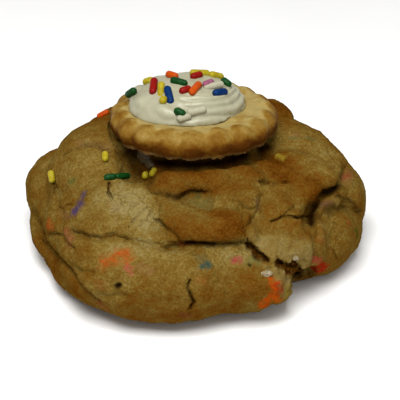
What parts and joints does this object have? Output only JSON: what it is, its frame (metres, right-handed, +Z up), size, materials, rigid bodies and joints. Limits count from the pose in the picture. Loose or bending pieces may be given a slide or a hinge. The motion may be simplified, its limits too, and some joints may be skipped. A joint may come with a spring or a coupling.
{
  "type": "thick confetti sprinkle cookie topped with a small fluted biscuit and an icing swirl",
  "caption": "Thick lumpy confetti cookie, split at the front right, with a small fluted biscuit and a sprinkled swirl of white icing pressed on top.",
  "frame": {"origin": "on the surface the cookie stands on, under the middle of its outline", "axes": "+Z up; -Y is the front, where the dough is split at its right; +X to the right seen from the front"},
  "size_m": [0.1028, 0.0921, 0.0528],
  "materials": {
    "dough": "matte baked cookie dough with melted-in sprinkles",
    "biscuit": "matte baked shortbread, browned at its rim",
    "icing": "soft satin butter icing with coloured sugar sprinkles"
  },
  "bodies": {
    "root": {"dough": "dough", "biscuit": "biscuit", "icing": "icing"}
  },
  "joints": []
}
